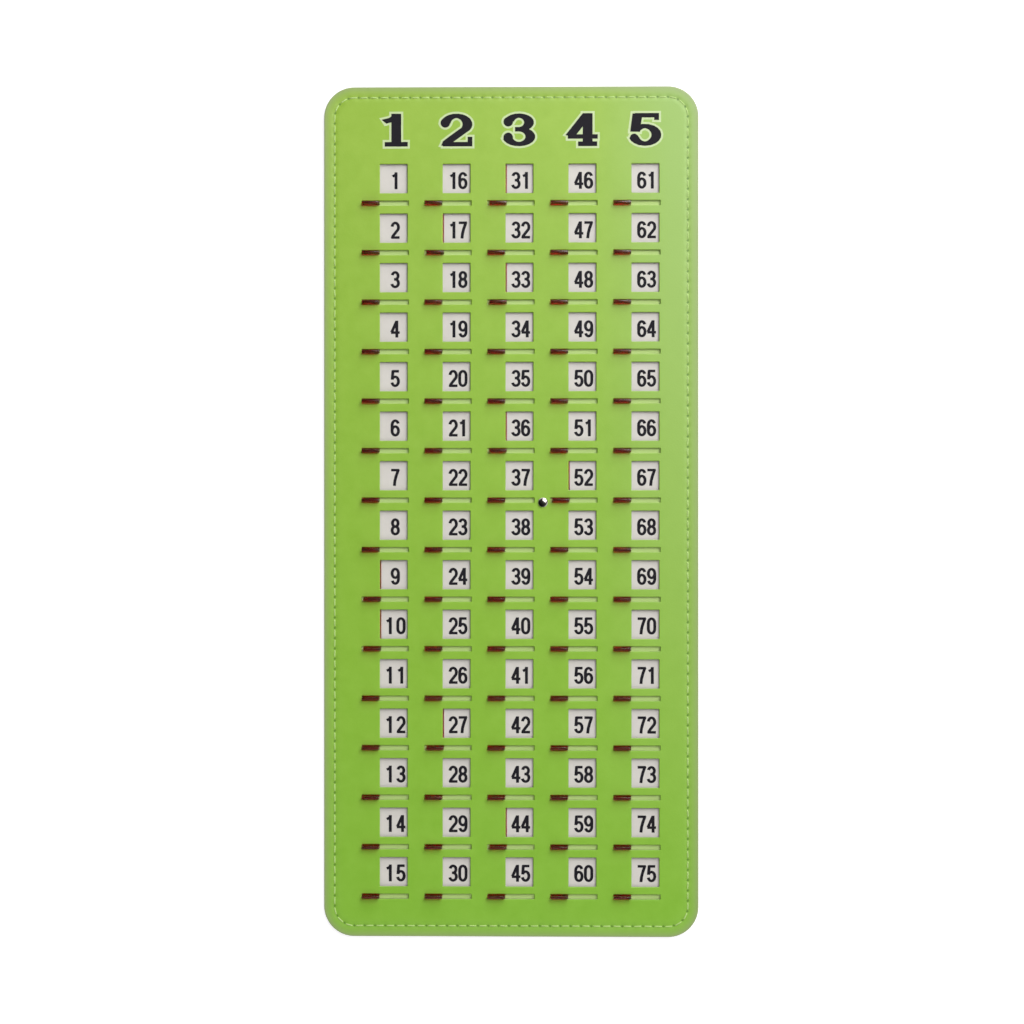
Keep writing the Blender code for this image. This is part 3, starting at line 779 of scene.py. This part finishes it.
def ball(centre_x, centre_y, radius, grow):
    """A round terminal at the end of a curved stroke."""
    return tuple(Vector(point) for point in ring(centre_x, centre_y, radius + grow, radius + grow))


half_wide = HEADING_SIZE[0] / 2
half_tall = HEADING_SIZE[1] / 2
FOOT = 2.9 * MM
BALL = 3.0 * MM
ball_x = -half_wide + BALL
stem_span = HEADING_SIZE[0] - 2 * HEADING_NIB[0]


def heading(figure, grow):
    """The patches of one heading figure with its slabs and round ends."""
    foot_y = -half_tall + FOOT / 2
    trims = {
        "1": [slab(0.12 * stem_span, foot_y, 14.5 * MM, FOOT, grow)],
        "2": [
            slab(half_wide - 1.5 * MM, -half_tall + 3.0 * MM, 3.0 * MM, 6.0 * MM, grow),
            ball(ball_x, half_tall - 5.8 * MM, BALL, grow),
        ],
        "3": [
            ball(ball_x, half_tall - 5.2 * MM, BALL, grow),
            ball(ball_x, 5.6 * MM - half_tall, BALL, grow),
        ],
        "4": [slab(0.24 * stem_span, foot_y, 12.0 * MM, FOOT, grow)],
        "5": [
            slab(half_wide - 3.0 * MM, half_tall - 2.2 * MM, 3.0 * MM, 4.4 * MM, grow),
            ball(ball_x, 5.0 * MM - half_tall, 2.7 * MM, grow),
        ],
    }
    return figure_patches(figure, HEADING_SIZE, HEADING_NIB, grow) + trims[figure]


for name, grow, bottom, film_depth, material in (
    ("heading_edges", HEADING_EDGE, front_top, PALE_FILM, pale),
    ("heading_figures", 0.0, front_top + PALE_FILM, INK_FILM, ink),
):
    shapes = []
    for column in range(COLUMNS):
        centre = Vector((first_window.x + column * COLUMN_PITCH, HEADING_Y))
        shapes.append((joined(heading(str(column + 1), grow)), centre))
    heading_print = printed(name, shapes, bottom, film_depth, material)
    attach(heading_print, "board")


# Seam. A lockstitch round the board that holds the plies together: a needle thread on the front and a
# bobbin thread on the back, each a twisted polyester thread that dives into a hole at every stitch.

# Twisted thread: two strands laid round each other every 1.3 mm, with a soft sheen. The twist follows the
# stitch's own map, along and round the thread.
thread, tree, shader = finish("pale_green_polyester_thread", Roughness=0.6, Sheen_Weight=0.3)
wrap = add(tree, "SeparateXYZ", {"Vector": add(tree, "TexCoord").outputs["UV"]})
lay = add(tree, "Math", [wrap.outputs["X"], 1 / (1.3 * MM), wrap.outputs["Y"]], operation="MULTIPLY_ADD")
turn = add(tree, "Math", [lay, 4 * math.pi], operation="MULTIPLY")
strand = add(tree, "Math", [turn], operation="SINE")
level = add(tree, "MapRange", {"Value": strand, "From Min": -1.0})
twist = add(
    tree, "Mix", {"Factor": level, "A": linear("A4CB62"), "B": linear("CFE59C")}, data_type="RGBA"
)
ply = add(tree, "Bump", {"Height": level, "Strength": 0.6, "Distance": 0.1 * MM})
fill(shader, {"Base Color": twist, "Normal": ply})

THREAD_RADIUS = 0.4 * MM
stitch_sizes = {
    "Width": WIDTH,
    "Length": LENGTH,
    "Corner Radius": CORNER_RADIUS,
    "Seam Inset": SEAM_INSET,
    "Stitches": STITCHES,
    "Stitch Length": 4.4 * MM,
    "Dive": 0.6 * MM,
    "Thread Radius": THREAD_RADIUS,
    "Wander": 0.05,
    "Seed": 4,
    "Thread": thread,
}
stitch_rule, use = new_tree("lockstitch", stitch_sizes)
rounded = outline(stitch_rule, use, use["Seam Inset"], 32)
halves = add(stitch_rule, "Math", [use["Stitches"], 2.0], operation="MULTIPLY")
half_steps = add(stitch_rule, "ResampleCurve", {"Curve": rounded, "Count": halves})
index = add(stitch_rule, "InputIndex")
between_holes = add(stitch_rule, "Math", [index, 2.0], operation="MODULO")

# One stitch: a thread that runs level from hole to hole and dives at both ends.
half_length = add(stitch_rule, "Math", [use["Stitch Length"], 0.5], operation="MULTIPLY")
back_length = add(stitch_rule, "Math", [use["Stitch Length"], -0.5], operation="MULTIPLY")
start = add(stitch_rule, "CombineXYZ", {"X": back_length})
end = add(stitch_rule, "CombineXYZ", {"X": half_length})
laid = add(stitch_rule, "CurvePrimitiveLine", {"Start": start, "End": end})
laid_points = add(stitch_rule, "ResampleCurve", {"Curve": laid, "Count": 8})
here = add(stitch_rule, "InputPosition")
from_middle = add(stitch_rule, "SeparateXYZ", {"Vector": here}).outputs["X"]
reach = add(stitch_rule, "Math", [from_middle, half_length], operation="DIVIDE")
steep = add(stitch_rule, "Math", [reach, 6.0], operation="POWER")
sunk = add(stitch_rule, "Math", [steep, use["Dive"]], operation="MULTIPLY")
fall = add(stitch_rule, "Math", [sunk, -1.0], operation="MULTIPLY")
dip = add(stitch_rule, "CombineXYZ", {"Z": fall})
bent = add(stitch_rule, "SetPosition", {"Geometry": laid_points, "Offset": dip})
way_round, way_along, _ = add(stitch_rule, "SplineParameter").outputs
mapped_line = add(
    stitch_rule, "StoreNamedAttribute", {"Geometry": bent, "Name": "run", "Value": way_along}
)
section = add(stitch_rule, "CurvePrimitiveCircle", {"Resolution": 7, "Radius": use["Thread Radius"]})
mapped_section = add(
    stitch_rule, "StoreNamedAttribute", {"Geometry": section, "Name": "round", "Value": way_round}
)
tube = add(
    stitch_rule, "CurveToMesh", {"Curve": mapped_line, "Profile Curve": mapped_section, "Fill Caps": True}
)
run = add(stitch_rule, "InputNamedAttribute", {"Name": "run"}, data_type="FLOAT")
turned = add(stitch_rule, "InputNamedAttribute", {"Name": "round"}, data_type="FLOAT")
map_place = add(stitch_rule, "CombineXYZ", {"X": run, "Y": turned})
stitch = add(
    stitch_rule, "StoreNamedAttribute", {"Geometry": tube, "Name": "UVMap", "Value": map_place},
    data_type="FLOAT2", domain="CORNER",
)
tangent = add(stitch_rule, "InputTangent")
heading_along = add(stitch_rule, "AlignRotationToVector", {"Vector": tangent}, axis="X", pivot_axis="Z")
sewn = add(
    stitch_rule, "InstanceOnPoints",
    {"Points": half_steps, "Selection": between_holes, "Instance": stitch, "Rotation": heading_along},
)
least = add(stitch_rule, "Math", [use["Wander"], -1.0], operation="MULTIPLY")
wander = add(
    stitch_rule, "RandomValue", {"Min": least, "Max": use["Wander"], "Seed": use["Seed"]},
    data_type="FLOAT",
)
lean = add(stitch_rule, "CombineXYZ", {"Z": wander.outputs[1]})
askew = add(stitch_rule, "RotateInstances", {"Instances": sewn, "Rotation": lean, "Local Space": True})
solid = add(stitch_rule, "RealizeInstances", {"Geometry": askew})
smooth = add(stitch_rule, "SetShadeSmooth", {"Geometry": solid})
faced = add(stitch_rule, "SetMaterial", {"Geometry": smooth, "Material": use["Thread"]})
add(stitch_rule, "GroupOutput", {"Geometry": faced})

needle_stitches = grown("needle_stitches", stitch_rule, stitch_sizes)
needle_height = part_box("needle_thread")[1].z - THREAD_RADIUS
needle_stitches.data.transform(Matrix.Translation((0, 0, needle_height)))
bobbin_stitches = grown("bobbin_stitches", stitch_rule, {**stitch_sizes, "Seed": 9})
bobbin_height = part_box("bobbin_thread")[0].z + THREAD_RADIUS
turned_over = Matrix.Rotation(math.pi, 4, "Y")
bobbin_stitches.data.transform(Matrix.Translation((0, 0, bobbin_height)) @ turned_over)
for stitches, node in ((needle_stitches, "needle_thread"), (bobbin_stitches, "bobbin_thread")):
    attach(stitches, "board")
    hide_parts(node)


# Rivet. A two-piece tubular rivet in nickel-plated brass through all the plies: a cap with a domed head on
# the front, and a post whose flange lies in the back cover. Both are turned about the rivet's axis.

# Bright nickel plate: mirror-like and faintly warm, with hairline scuffs about 0.6 mm apart.
nickel, tree, shader = finish("nickel_plated_brass", Base_Color=linear("DAD6CC"), Metallic=1.0)
spot = add(tree, "TexCoord").outputs["Object"]
scuff = add(tree, "TexNoise", {"Vector": spot, "Scale": 1 / (0.6 * MM), "Detail": 4.0})
dulled = add(
    tree, "MapRange", {"Value": scuff, "From Min": 0.4, "From Max": 0.8, "To Min": 0.08, "To Max": 0.3}
)
fill(shader, {"Roughness": dulled})


def turned_piece(name, profile, node):
    """A solid of revolution on the rivet's axis, from radii and heights in order from axis to axis."""
    bm = bmesh.new()
    points = [bm.verts.new((radius, 0, height)) for radius, height in profile]
    edges = [bm.edges.new(pair) for pair in zip(points, points[1:])]
    turn = {"axis": (0, 0, 1), "cent": (0, 0, 0), "angle": 2 * math.pi, "steps": 48}
    bmesh.ops.spin(bm, geom=points + edges, use_merge=True, **turn)
    bmesh.ops.remove_doubles(bm, verts=bm.verts[:], dist=0.002 * MM)
    bmesh.ops.recalc_face_normals(bm, faces=bm.faces[:])
    mesh = bpy.data.meshes.new(name)
    bm.to_mesh(mesh)
    bm.free()
    mesh.materials.append(nickel)
    mesh.transform(Matrix.Translation((rivet_x, rivet_y, 0)))
    mesh.shade_smooth()
    mesh.set_sharp_from_angle(angle=math.radians(35))
    piece = placed(name, mesh)
    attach(piece, "board")
    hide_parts(node)


HEAD_RADIUS = 3.15 * MM
HEAD_RIM = 0.35 * MM
HEAD_EDGE = 0.1 * MM
TUBE_RADIUS = 1.7 * MM
BORE_RADIUS = 1.2 * MM
PIN_RADIUS = 0.9 * MM
FLANGE_RADIUS = 3.0 * MM
FLANGE_EDGE = 0.15 * MM
FLANGE_THICKNESS = 0.5 * MM
DOME_STEPS = 12
head_base = front_top + LEAF
dome_base = head_base + HEAD_RIM
dome_rise = rivet_high.z - head_base - HEAD_RIM
dome_angles = [i / DOME_STEPS * QUARTER for i in range(DOME_STEPS + 1)]
dome = [(HEAD_RADIUS * math.sin(a), dome_base + dome_rise * math.cos(a)) for a in dome_angles]
tube_foot = rivet_low.z
cap_profile = dome + [
    (HEAD_RADIUS - HEAD_EDGE, head_base),
    (TUBE_RADIUS, head_base),
    (TUBE_RADIUS, tube_foot),
    (BORE_RADIUS, tube_foot),
    (BORE_RADIUS, front_top),
    (0, front_top),
]
turned_piece("rivet_head", cap_profile, "rivet_cap")
post_low, post_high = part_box("rivet_post")
flange_top = post_low.z + FLANGE_THICKNESS
post_profile = [
    (0, post_high.z),
    (PIN_RADIUS - FLANGE_EDGE, post_high.z),
    (PIN_RADIUS, post_high.z - FLANGE_EDGE),
    (PIN_RADIUS, flange_top),
    (FLANGE_RADIUS - FLANGE_EDGE, flange_top),
    (FLANGE_RADIUS, flange_top - FLANGE_EDGE),
    (FLANGE_RADIUS, post_low.z + FLANGE_EDGE),
    (FLANGE_RADIUS - FLANGE_EDGE, post_low.z),
    (FLANGE_RADIUS / 3, post_low.z),
    (FLANGE_RADIUS / 4, post_low.z + FLANGE_EDGE),
    (0, post_low.z + FLANGE_EDGE),
]
turned_piece("rivet_pin", post_profile, "rivet_post")


# Floor, light and camera. A white table under two soft lamps to the upper right and a weaker one below, in
# a room with a dark ceiling, whose walls are white to the right and behind. The camera looks straight down.

floor_mesh = bpy.data.meshes.new("floor")
FLOOR = 1.8
FLOOR_TOP = -0.1 * MM  # a hair below the board, so that their faces don't coincide
floor_corners = [(x, y, FLOOR_TOP) for x, y in rectangle(FLOOR, FLOOR)]
floor_mesh.from_pydata(floor_corners, [], [(0, 1, 2, 3)])
floor = placed("floor", floor_mesh)

# Backdrop paper: matt, and lifted to a plain white where it is seen, without shedding light on the board.
paper = bpy.data.materials.new("white_backdrop_paper")
paper.use_nodes = True
tree = paper.node_tree
tree.nodes.clear()
ray = add(tree, "LightPath")
looked_at = add(
    tree, "Math", [ray.outputs["Is Camera Ray"], ray.outputs["Is Glossy Ray"]], operation="MAXIMUM"
)
seen = add(tree, "Math", [looked_at, ray.outputs["Is Transmission Ray"]], operation="MAXIMUM")
matt = add(tree, "BsdfDiffuse", {"Color": linear("C4C4C4")})
LIFT = 0.75
shine = add(tree, "Math", [seen, LIFT], operation="MULTIPLY")
glow = add(tree, "Emission", {"Strength": shine})
both = add(tree, "AddShader", [matt, glow])
add(tree, "OutputMaterial", {"Surface": both})
floor_mesh.materials.append(paper)

# The room: walls that are bright low down and on the lit side, below a dark ceiling.
world = bpy.data.worlds.new("white_room")
world.use_nodes = True
tree = world.node_tree
tree.nodes.clear()
WALLS = 1.0
CEILING = 0.03
LIT_SIDE = (0.8, 0.6, 0.0)
direction = add(tree, "TexCoord").outputs["Generated"]
rise = add(tree, "SeparateXYZ", {"Vector": direction}).outputs["Z"]
height = add(
    tree, "MapRange",
    {"Value": rise, "From Min": 0.4, "From Max": 0.7, "To Min": WALLS, "To Max": CEILING},
)
towards_light = add(tree, "VectorMath", [direction, LIT_SIDE], operation="DOT_PRODUCT").outputs["Value"]
far_side = add(
    tree, "MapRange",
    {"Value": towards_light, "From Min": -0.5, "From Max": 0.1, "To Min": CEILING, "To Max": 1.0},
)
skirting = add(
    tree, "MapRange", {"Value": rise, "From Min": 0.05, "From Max": 0.15, "To Min": 1.0, "To Max": 0.0}
)
lit = add(tree, "Math", [far_side, skirting], operation="MAXIMUM")
room_light = add(tree, "Math", [height, lit], operation="MULTIPLY")
room = add(tree, "Background", {"Color": linear("FFFFFF"), "Strength": room_light})
add(tree, "OutputWorld", {"Surface": room})
bpy.context.scene.world = world

for name, place, size, energy, mirrored in (
    ("key_softbox", (0.62, 0.72, 1.38), 1.05, 19.0, True),
    ("low_softbox", (0.55, 1.35, 0.95), 0.9, 9.2, True),
    ("fill_softbox", (-0.1, -0.9, 0.9), 0.9, 4.4, False),
):
    light = bpy.data.lights.new(name, "AREA")
    light.shape = "SQUARE"
    light.size = size
    light.energy = energy
    lamp = bpy.data.objects.new(name, light)
    lamp.location = place
    lamp.rotation_euler = (-Vector(place)).to_track_quat("-Z", "Y").to_euler()
    lamp.visible_glossy = mirrored
    bpy.context.scene.collection.objects.link(lamp)

# The photograph's frame is 643 mm wide at the board's face, and its right side is a hair nearer.
camera_data = bpy.data.cameras.new("camera")
camera = bpy.data.objects.new("camera", camera_data)
aim = Vector((0.62 * MM, -0.2 * MM, front_top))
DISTANCE = 1.25
SIDE_STEP = 0.02
FRAME_WIDTH = 0.6425
camera_data.sensor_width = 36
camera_data.lens = camera_data.sensor_width * DISTANCE / FRAME_WIDTH
camera.location = aim + Vector((SIDE_STEP, 0, DISTANCE))
outwards = (camera.location - aim).normalized()
sideways = Vector((0, 1, 0)).cross(outwards).normalized()
camera.rotation_euler = Matrix((sideways, outwards.cross(sideways), outwards)).transposed().to_euler()
bpy.context.scene.collection.objects.link(camera)
bpy.context.scene.camera = camera
bpy.context.scene.view_settings.view_transform = "Standard"
